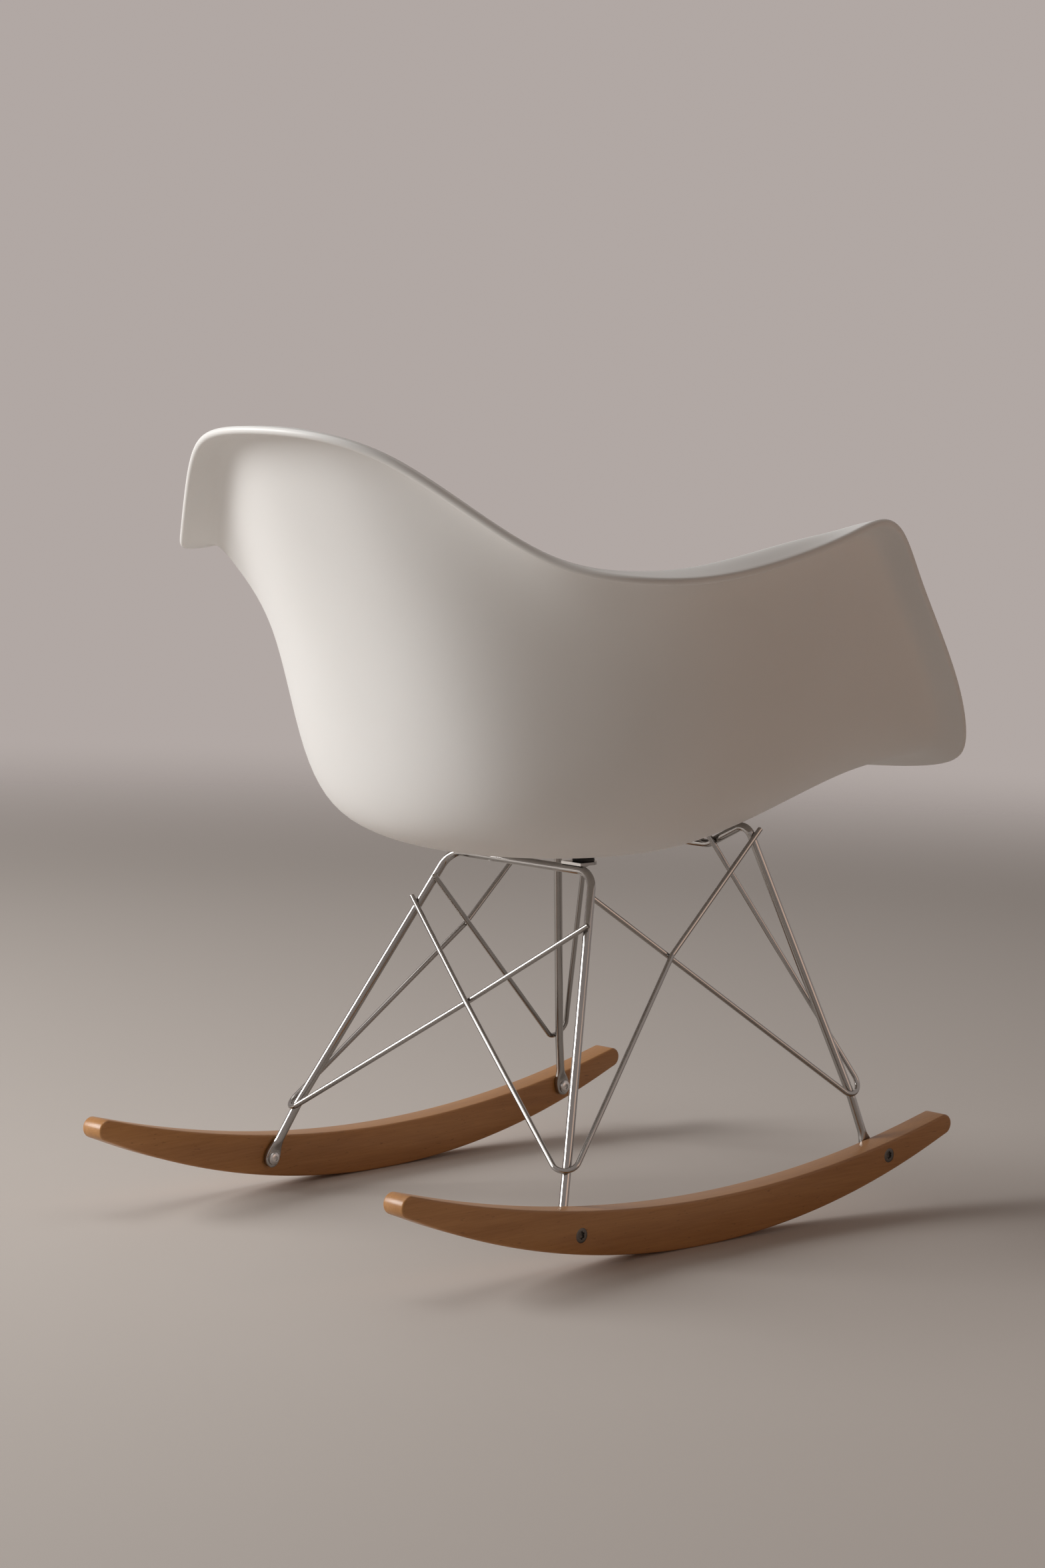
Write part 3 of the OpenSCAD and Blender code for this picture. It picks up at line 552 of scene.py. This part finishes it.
# ---------------------------------------------------------------------------------------------
# Materials
# ---------------------------------------------------------------------------------------------
class Surface:
    """A node material with a Principled shader and small helpers."""

    def __init__(self, name, color, rough, metallic=0.0):
        self.mat = bpy.data.materials.new(name)
        self.mat.use_nodes = True
        self.tree = self.mat.node_tree
        self.shader = self.tree.nodes["Principled BSDF"]
        self.set("Base Color", (*color, 1))
        self.set("Roughness", rough)
        self.set("Metallic", metallic)
        self.coords = self.tree.nodes.new("ShaderNodeTexCoord").outputs["Object"]

    def set(self, socket, value):
        self.shader.inputs[socket].default_value = value

    def link(self, a, b):
        self.tree.links.new(a, b)

    def stretched(self, scale):
        m = self.tree.nodes.new("ShaderNodeMapping")
        m.inputs["Scale"].default_value = scale
        self.link(self.coords, m.inputs["Vector"])
        return m.outputs["Vector"]

    def noise(self, scale, detail=4.0, rough=0.5, distortion=0.0, vector=None):
        n = self.tree.nodes.new("ShaderNodeTexNoise")
        n.inputs["Scale"].default_value = scale
        n.inputs["Detail"].default_value = detail
        n.inputs["Roughness"].default_value = rough
        n.inputs["Distortion"].default_value = distortion
        self.link(vector or self.coords, n.inputs["Vector"])
        return n.outputs["Fac"]

    def ramp(self, fac, stops):
        r = self.tree.nodes.new("ShaderNodeValToRGB")
        while len(r.color_ramp.elements) < len(stops):
            r.color_ramp.elements.new(0.5)
        for e, (pos, col) in zip(r.color_ramp.elements, stops):
            e.position = pos
            e.color = (*col, 1) if len(col) == 3 else col
        self.link(fac, r.inputs["Fac"])
        return r.outputs["Color"]

    def mixed(self, fac, a, b, mode="MIX"):
        m = self.tree.nodes.new("ShaderNodeMix")
        m.data_type = "RGBA"
        m.blend_type = mode
        for value, socket in ((fac, m.inputs[0]), (a, m.inputs[6]), (b, m.inputs[7])):
            if isinstance(value, bpy.types.NodeSocket):
                self.link(value, socket)
            else:
                socket.default_value = value
        return m.outputs[2]

    def math(self, op, a, b=None):
        m = self.tree.nodes.new("ShaderNodeMath")
        m.operation = op
        for value, socket in ((a, m.inputs[0]), (b, m.inputs[1])):
            if isinstance(value, bpy.types.NodeSocket):
                self.link(value, socket)
            elif value is not None:
                socket.default_value = value
        return m.outputs[0]

    def ranged(self, fac, lo, hi, socket):
        m = self.tree.nodes.new("ShaderNodeMapRange")
        m.inputs["To Min"].default_value = lo
        m.inputs["To Max"].default_value = hi
        self.link(fac, m.inputs["Value"])
        self.link(m.outputs["Result"], self.shader.inputs[socket])

    def bump(self, height, strength, distance):
        b = self.tree.nodes.new("ShaderNodeBump")
        b.inputs["Strength"].default_value = strength
        b.inputs["Distance"].default_value = distance
        self.link(height, b.inputs["Height"])
        self.link(b.outputs["Normal"], self.shader.inputs["Normal"])


def shell_plastic():
    """White moulded polypropylene: a fine spark texture, a slight waviness and faint scuffs."""
    s = Surface("shell_plastic", (0.84, 0.83, 0.81), 0.42)
    tint = s.noise(5, 3)
    s.link(s.ramp(tint, [(0.3, (0.82, 0.81, 0.79)), (0.7, (0.85, 0.84, 0.825))]),
           s.shader.inputs["Base Color"])
    grain = s.noise(1500, 2, 0.6)
    wave = s.noise(60, 3)
    s.ranged(s.math("ADD", s.math("MULTIPLY", grain, 0.5), s.math("MULTIPLY", wave, 0.5)),
             0.34, 0.52, "Roughness")
    s.bump(s.math("ADD", grain, s.math("MULTIPLY", wave, 0.6)), 0.25, 0.00012)
    s.set("Subsurface Weight", 0.06)
    s.set("Subsurface Radius", (0.006, 0.005, 0.0045))
    s.set("Subsurface Scale", 1.0)
    s.set("IOR", 1.49)
    return s.mat


# The default base colour of 0.42 is darker than plain chrome. This is painted reflection: it stands in
# for a dark floor mirrored in the metal.
def chrome(name, color=(0.42, 0.405, 0.39), rough=0.08):
    """Chrome plate over drawn rod: faint lengthwise streaks and hazy patches in the gloss."""
    s = Surface(name, color, rough, 1.0)
    fine = s.noise(2400, 2, 0.5)
    haze = s.noise(14, 4, 0.6)
    both = s.math("ADD", s.math("MULTIPLY", fine, 0.2), s.math("MULTIPLY", haze, 0.8))
    s.ranged(both, rough * 0.5, rough * 1.6, "Roughness")
    s.link(s.ramp(haze, [(0.25, tuple(c * 0.84 for c in color)), (0.7, color)]),
           s.shader.inputs["Base Color"])
    s.bump(fine, 0.05, 0.00001)
    return s.mat


def steel(name, color, rough):
    """Plated steel of the fasteners: soft grain and uneven sheen."""
    s = Surface(name, color, rough, 1.0)
    grain = s.noise(900, 3, 0.7)
    s.ranged(grain, rough * 0.7, rough * 1.4, "Roughness")
    s.link(s.ramp(s.noise(300, 3), [(0.3, tuple(c * 0.75 for c in color)), (0.75, color)]),
           s.shader.inputs["Base Color"])
    s.bump(grain, 0.2, 0.00005)
    return s.mat


def rubber():
    """Black moulded rubber with a dusty, slightly pitted skin."""
    s = Surface("mount_rubber", (0.02, 0.02, 0.02), 0.6)
    dust = s.noise(160, 4, 0.6)
    s.link(s.ramp(dust, [(0.35, (0.013, 0.013, 0.013)), (0.8, (0.04, 0.038, 0.036))]),
           s.shader.inputs["Base Color"])
    s.ranged(dust, 0.5, 0.78, "Roughness")
    s.bump(s.noise(900, 3, 0.6), 0.3, 0.0001)
    return s.mat


def wood():
    """Light lacquered beech or maple: long soft figure, fine fibre lines and short ray flecks."""
    s = Surface("rocker_wood", (0.6, 0.36, 0.17), 0.36)
    figure = s.noise(1.0, 5, 0.55, 0.6, s.stretched((34, 2.6, 34)))
    fibre = s.noise(1.0, 6, 0.7, 0.1, s.stretched((520, 16, 520)))
    fleck = s.noise(1.0, 2, 0.5, 0.0, s.stretched((900, 110, 560)))
    blotch = s.noise(9, 3, 0.5)
    # The figure and fibre colours are darker and more orange than the wood's lit ends. This is painted
    # shade, matched to the rockers' shaded sides.
    base = s.ramp(figure, [(0.25, (0.36, 0.148, 0.036)), (0.5, (0.45, 0.2, 0.056)),
                           (0.75, (0.54, 0.262, 0.086))])
    base = s.mixed(0.35, base, s.ramp(fibre, [(0.3, (0.31, 0.125, 0.03)), (0.65, (0.54, 0.27, 0.09))]))
    base = s.mixed(s.ramp(fleck, [(0.66, (0, 0, 0)), (0.74, (0.55, 0.55, 0.55))]), base,
                   (0.2, 0.08, 0.024, 1))
    base = s.mixed(0.5, base, s.ramp(blotch, [(0.3, (0.82, 0.82, 0.82)), (0.7, (1, 1, 1))]), "MULTIPLY")
    s.link(base, s.shader.inputs["Base Color"])
    s.ranged(fibre, 0.3, 0.46, "Roughness")
    s.bump(s.math("ADD", fibre, s.math("MULTIPLY", fleck, 0.4)), 0.18, 0.00015)
    s.set("Coat Weight", 0.12)
    s.set("Coat Roughness", 0.22)
    return s.mat


WHITE = shell_plastic()
# Rod and wire colours are darkened below plain chrome as painted reflection of a dark floor.
ROD = chrome("chrome_rod")
WIRE = chrome("chrome_wire", (0.40, 0.385, 0.37), 0.09)
TAB = chrome("chrome_tab", (0.50, 0.485, 0.47), 0.18)
RUBBER = rubber()
ZINC = steel("zinc_steel", (0.55, 0.54, 0.52), 0.35)
SCREW = steel("screw_steel", (0.45, 0.44, 0.43), 0.34)
BOLT = steel("bolt_steel", (0.74, 0.73, 0.72), 0.3)
NUT = steel("nut_steel", (0.16, 0.145, 0.13), 0.42)
WOOD = wood()


# ---------------------------------------------------------------------------------------------
# Seat shell
# ---------------------------------------------------------------------------------------------
def wall_t(u):
    return SHELL_T + (LIP_T - SHELL_T) * np.clip(1 - u, 0, 1) ** 2


def shell():
    u = np.concatenate([np.linspace(0, 1.6, 17)[:-1], np.linspace(1.6, 5, 26)[:-1],
                        np.linspace(5, 6.9, 16)])
    v = np.linspace(0, AROUND, AROUND * 8, endpoint=False)
    outer = skin(u, v)
    inner = outer - skin_normal(u, v) * wall_t(u)[:, None, None]
    out = outer[0] - outer[1]
    out /= np.linalg.norm(out, axis=1, keepdims=True)
    nose = []
    for a in np.radians(np.linspace(0, 180, 13)[1:-1]):
        nose.append(mix(outer[0], inner[0], (1 - math.cos(a)) / 2) + out * LIP_T / 2 * math.sin(a))
    rings = [*outer[::-1], *nose, *inner]
    verts, faces = skin_rings(rings, closed_ends=False)
    n = len(v)
    low = skin(np.array([float(DOWN)]), np.array([0.0]))[0, 0]
    verts += [low, low + vec(0, 0, SHELL_T)]
    c = len(verts) - 2
    last = (len(rings) - 1) * n
    faces += [(c, (j + 1) % n, j) for j in range(n)]
    faces += [(c + 1, last + j, last + (j + 1) % n) for j in range(n)]
    obj = make("shell", verts, faces, WHITE, 60)
    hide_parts("seat_shell")
    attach(obj, "root")


# ---------------------------------------------------------------------------------------------
# Rockers
# ---------------------------------------------------------------------------------------------
END_BACK = 9.5
EDGE_R = 2.2
NUT_HEAD_D, NUT_HEAD_T, NUT_FIT = 13, 2.2, 0.2
HEAD_D = 12
RECESS_SIDES = 64


def rocker_loop():
    """Side outline of a rocker as (length, up) points."""
    end_y = ROCKER_LEN / 2 - END_BACK
    slope = math.asin(end_y / mix(SOLE_R, TOP_R, 0.5))
    r = (top_z(end_y) - sole_z(end_y)) / 2 * math.cos(slope)
    c = vec(end_y, mid_z(end_y))
    low, high = end_y + r * math.sin(slope), end_y - r * math.sin(slope)
    ends = [c + r * vec(math.sin(slope + a), -math.cos(slope + a))
            for a in np.linspace(0, math.pi, 17)]
    ys = np.linspace(-1, 1, 61)[1:-1]
    sole = [vec(y * low, sole_z(y * low)) for y in ys]
    top = [vec(-y * high, top_z(y * high)) for y in ys]
    left = [p * vec(-1, 1) for p in reversed(ends)]
    return np.array(sole + ends + top + left)


def rocker(name, node, mirror):
    loop = rocker_loop()
    tangent = np.roll(loop, -1, 0) - np.roll(loop, 1, 0)
    tangent /= np.linalg.norm(tangent, axis=1, keepdims=True)
    inward = np.stack([-tangent[:, 1], tangent[:, 0]], 1)
    rings = []
    steps = [math.radians(a) for a in (0, 22.5, 45, 67.5, 90)]
    levels = [(-ROCKER_T / 2 + EDGE_R * (1 - math.cos(a)), EDGE_R * (1 - math.sin(a))) for a in steps]
    levels += [(-x, inset) for x, inset in reversed(levels)]
    for x, inset in levels:
        pts = loop + inward * inset
        rings.append([at_rocker(x, y, z) for y, z in pts])
    verts, faces = skin_rings(rings)
    obj = make(name, verts, faces, WOOD, 35, mirror)
    cutters = []
    for b in (rear_bolt, front_bolt):
        r = NUT_HEAD_D / 2 + NUT_FIT / 2
        profile = [(r, ROCKER_T / 2 - NUT_HEAD_T - 0.6), (r, ROCKER_T / 2 + 3)]
        cutters.append(turned(profile, at_rocker(0, *b[1:]), OUT, vec(0, 0, 1), RECESS_SIDES))
    cut = make(name + "_cut", *joined(cutters), WOOD, 30, mirror)
    mod = obj.modifiers.new("bores", "BOOLEAN")
    mod.operation = "DIFFERENCE"
    mod.solver = "EXACT"
    mod.object = cut
    dg = bpy.context.evaluated_depsgraph_get()
    mesh = bpy.data.meshes.new_from_object(obj.evaluated_get(dg))
    obj.modifiers.clear()
    obj.data = mesh
    mesh.shade_smooth()
    mesh.set_sharp_from_angle(angle=math.radians(35))
    bpy.data.objects.remove(cut)
    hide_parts(node)
    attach(obj, "root")


# ---------------------------------------------------------------------------------------------
# Fasteners
# ---------------------------------------------------------------------------------------------
def both_bolts(build):
    """The same turned piece at all four bolt points."""
    parts = []
    for b in (rear_bolt, front_bolt):
        v, f = build(b)
        parts.append((v, f))
        parts.append(([flip(p) for p in v], [tuple(reversed(q)) for q in f]))
    return joined(parts)


def nut_head(b):
    """Sleeve nut head, flush in the rocker's outer face, with a six-lobed socket."""
    r = NUT_HEAD_D / 2
    profile = [(r - 0.1, -NUT_HEAD_T - 0.5), (r, -NUT_HEAD_T), (r, -0.35), (r - 0.12, -0.12),
               (r - 0.4, 0), (4.1, 0), (star(3.45, 0.14), 0), (star(3.3, 0.14), -0.25),
               (star(3.2, 0.14), -1.9), (1.2, -2.1)]
    return turned(profile, at_rocker(ROCKER_T / 2, *b[1:]), OUT, vec(0, 0, 1))


def bolt_head(b):
    """Domed bolt head on the inside, against the flattened eye, with a hexagon socket."""
    seat = -ROCKER_T / 2 - EYE_T - 2 * EYE_GAP
    r = HEAD_D / 2
    dome = [(r * math.sin(math.radians(a)), 1.1 + 2.5 * math.cos(math.radians(a)))
            for a in (90, 78, 66, 54, 44, 36)]
    profile = [(r, 0), (r, 0.6)] + dome + [(hexagon(4.6), 3.2), (hexagon(4.3), 3.0),
                                            (hexagon(4.2), 1.5), (0.8, 1.4)]
    return turned(profile, at_rocker(seat, *b[1:]), -OUT, vec(0, 0, 1))


def piece(name, mesh, material, node, sharp=35, mirror=False):
    obj = make(name, mesh[0], mesh[1], material, sharp, mirror)
    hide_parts(node)
    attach(obj, "root")


# ---------------------------------------------------------------------------------------------
# Shock mounts
# ---------------------------------------------------------------------------------------------
def mount_mesh(top, n):
    """Rubber wedge between a tab and the shell, with rounded rims and a moulded waist groove."""
    r = MOUNT_D / 2
    z0 = top[2] - MOUNT_H
    # Radius and height: in mm for the flat rim, then as a share of the way up to the shell
    rim = [(r - 0.9, 0), (r - 0.25, 0.2), (r, 0.8)]
    wall = [(r, 0.3), (r - 0.35, 0.42), (r - 0.35, 0.58), (r, 0.7), (r, 0.92), (r - 0.35, 1.0)]
    rings = []
    for k, (rr, h) in enumerate(rim + wall):
        ring = []
        for i in range(TURNED_SIDES):
            a = 2 * math.pi * i / TURNED_SIDES
            x, y = top[0] + rr * math.cos(a), top[1] + rr * math.sin(a)
            z_top = top[2] - (n[0] * (x - top[0]) + n[1] * (y - top[1])) / n[2] - 0.06
            z = z0 + h if k < len(rim) else mix(z0 + 0.8, z_top, h)
            ring.append(vec(x, y, z))
        rings.append(ring)
    return skin_rings(rings)


shell()
rocker("rocker_left", "left_rocker", False)
rocker("rocker_right", "right_rocker", True)

piece("rear_hoop", hoop_mesh(rear_eye, unit(REAR_BEND),
                             [rear_bend, rear_corner, vec(0, REAR_BAR_Y, rear_bar_z)],
                             [FOOT_BEND, HOOP_BEND]),
      ROD, "rear_leg_hoop")
piece("front_hoop", hoop_mesh(front_eye, unit(FRONT_BEND),
                              [front_bend, front_corner, front_kink,
                               vec(0, FRONT_BAR_Y, front_bar_z)],
                              [FOOT_BEND, FRONT_HOOP_BEND, KINK_BEND]),
      ROD, "front_leg_hoop")
for side, word in ((LEFT, "left"), (RIGHT, "right")):
    piece("rear_wire_" + word, wire_mesh(rear_brace_path(side), [0, BRACE_BEND, 0], WIRE_D),
          WIRE, "rear_%s_brace" % word, mirror=side == RIGHT)
    piece("front_wire_" + word, wire_mesh(front_brace_path(side), [BRACE_BEND], WIRE_D),
          WIRE, "front_%s_brace" % word, mirror=side == RIGHT)
    for place, top, n in (("rear", rear_top, rear_n), ("front", front_top, front_n)):
        piece("%s_%s_pad" % (place, word), mount_mesh(top, n), RUBBER,
              "%s_%s_shock_mount" % (place, word), mirror=side == RIGHT)
piece("nut_heads", both_bolts(nut_head), NUT, "rocker_sleeve_nuts")
piece("bolt_heads", both_bolts(bolt_head), BOLT, "rocker_bolts")

# CAD nodes that keep their own shape
for node, material in (("rear_left_tab", TAB), ("rear_right_tab", TAB), ("front_left_tab", TAB),
                       ("front_right_tab", TAB), ("mount_plates", ZINC), ("mount_screws", SCREW)):
    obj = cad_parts[node]
    for slot in obj.material_slots:
        slot.material = material
    obj.data.shade_smooth()

# ---------------------------------------------------------------------------------------------
# Floor, backdrop, light and camera
# ---------------------------------------------------------------------------------------------
AZ, EL, ROLL = math.radians(224.4), math.radians(6.0), math.radians(1.8)
EYE = (-2.3174, 2.3782, 0.7349)
FOCAL_PX, WIDE_PX, TALL_PX, SENSOR = 5553, 1568, 2352, 36

back = Vector((math.sin(AZ) * math.cos(EL), -math.cos(AZ) * math.cos(EL), math.sin(EL)))
right = (-back).cross(Vector((0, 0, 1))).normalized()
up = right.cross(-back)
r2 = right * math.cos(ROLL) + up * math.sin(ROLL)
u2 = up * math.cos(ROLL) - right * math.sin(ROLL)
cam_data = bpy.data.cameras.new("camera")
cam_data.sensor_fit = "VERTICAL"
cam_data.sensor_height = SENSOR
cam_data.sensor_width = SENSOR * WIDE_PX / TALL_PX
cam_data.lens = FOCAL_PX / TALL_PX * SENSOR
cam = bpy.data.objects.new("camera", cam_data)
cam.matrix_world = Matrix(((r2.x, u2.x, back.x, EYE[0]), (r2.y, u2.y, back.y, EYE[1]),
                           (r2.z, u2.z, back.z, EYE[2]), (0, 0, 0, 1)))
bpy.context.scene.collection.objects.link(cam)
bpy.context.scene.camera = cam


def floor_material(name, color, fade_from, fade_to):
    """A plain floor that fades out with distance from the middle, into the background."""
    m = bpy.data.materials.new(name)
    m.use_nodes = True
    t = m.node_tree
    plain = t.nodes["Principled BSDF"]
    plain.inputs["Base Color"].default_value = (*color, 1)
    plain.inputs["Roughness"].default_value = 0.6
    where = t.nodes.new("ShaderNodeTexCoord")
    far = t.nodes.new("ShaderNodeVectorMath")
    far.operation = "LENGTH"
    fade = t.nodes.new("ShaderNodeMapRange")
    fade.interpolation_type = "SMOOTHSTEP"
    fade.inputs["From Min"].default_value = fade_from
    fade.inputs["From Max"].default_value = fade_to
    clear = t.nodes.new("ShaderNodeBsdfTransparent")
    both = t.nodes.new("ShaderNodeMixShader")
    t.links.new(where.outputs["Object"], far.inputs[0])
    t.links.new(far.outputs["Value"], fade.inputs["Value"])
    t.links.new(fade.outputs["Result"], both.inputs[0])
    t.links.new(plain.outputs[0], both.inputs[1])
    t.links.new(clear.outputs[0], both.inputs[2])
    t.links.new(both.outputs[0], t.nodes["Material Output"].inputs["Surface"])
    return m


def round_floor(radius, count):
    mesh = bpy.data.meshes.new("floor")
    rim = [(radius * math.cos(a), radius * math.sin(a), 0)
           for a in np.linspace(0, 2 * math.pi, count, endpoint=False)]
    mesh.from_pydata(rim, [], [tuple(range(count))])
    obj = bpy.data.objects.new("floor", mesh)
    bpy.context.scene.collection.objects.link(obj)
    return obj


floor = round_floor(5, 96)
floor.data.materials.append(floor_material("pale_floor", (0.62, 0.57, 0.53), 2.2, 4.4))


def area_light(name, at, aim, size, power, color):
    data = bpy.data.lights.new(name, "AREA")
    data.shape = "RECTANGLE"
    data.size, data.size_y = size
    data.energy = power
    data.color = color
    obj = bpy.data.objects.new(name, data)
    obj.location = at
    obj.rotation_euler = (Vector(aim) - Vector(at)).to_track_quat("-Z", "Y").to_euler()
    obj.visible_camera = False
    bpy.context.scene.collection.objects.link(obj)


area_light("window", (2.5, 2.7, 1.8), (0, 0, 0.42), (1.8, 1.8), 138, (1.0, 0.995, 0.985))
area_light("overhead", (0.9, 0.7, 2.9), (0, 0, 0.4), (1.6, 1.6), 15, (1.0, 0.99, 0.975))
area_light("fill", (-2.6, -0.9, 1.0), (0, 0, 0.4), (1.6, 1.5), 5.5, (1.0, 0.64, 0.45))


def background(light, light_strength, shown):
    """Even light from all round, with a pale backdrop for the camera and for reflections."""
    w = bpy.data.worlds.new("world")
    w.use_nodes = True
    t = w.node_tree
    soft = t.nodes["Background"]
    soft.inputs["Color"].default_value = (*light, 1)
    soft.inputs["Strength"].default_value = light_strength
    pale = t.nodes.new("ShaderNodeBackground")
    pale.inputs["Color"].default_value = (*shown, 1)
    path = t.nodes.new("ShaderNodeLightPath")
    seen = t.nodes.new("ShaderNodeMath")
    seen.operation = "MAXIMUM"
    both = t.nodes.new("ShaderNodeMixShader")
    t.links.new(path.outputs["Is Camera Ray"], seen.inputs[0])
    t.links.new(path.outputs["Is Glossy Ray"], seen.inputs[1])
    t.links.new(seen.outputs[0], both.inputs[0])
    t.links.new(soft.outputs[0], both.inputs[1])
    t.links.new(pale.outputs[0], both.inputs[2])
    t.links.new(both.outputs[0], t.nodes["World Output"].inputs["Surface"])
    return w


bpy.context.scene.world = background((1.0, 0.86, 0.76), 0.085, (0.44, 0.39, 0.37))
bpy.context.scene.view_settings.view_transform = "Standard"
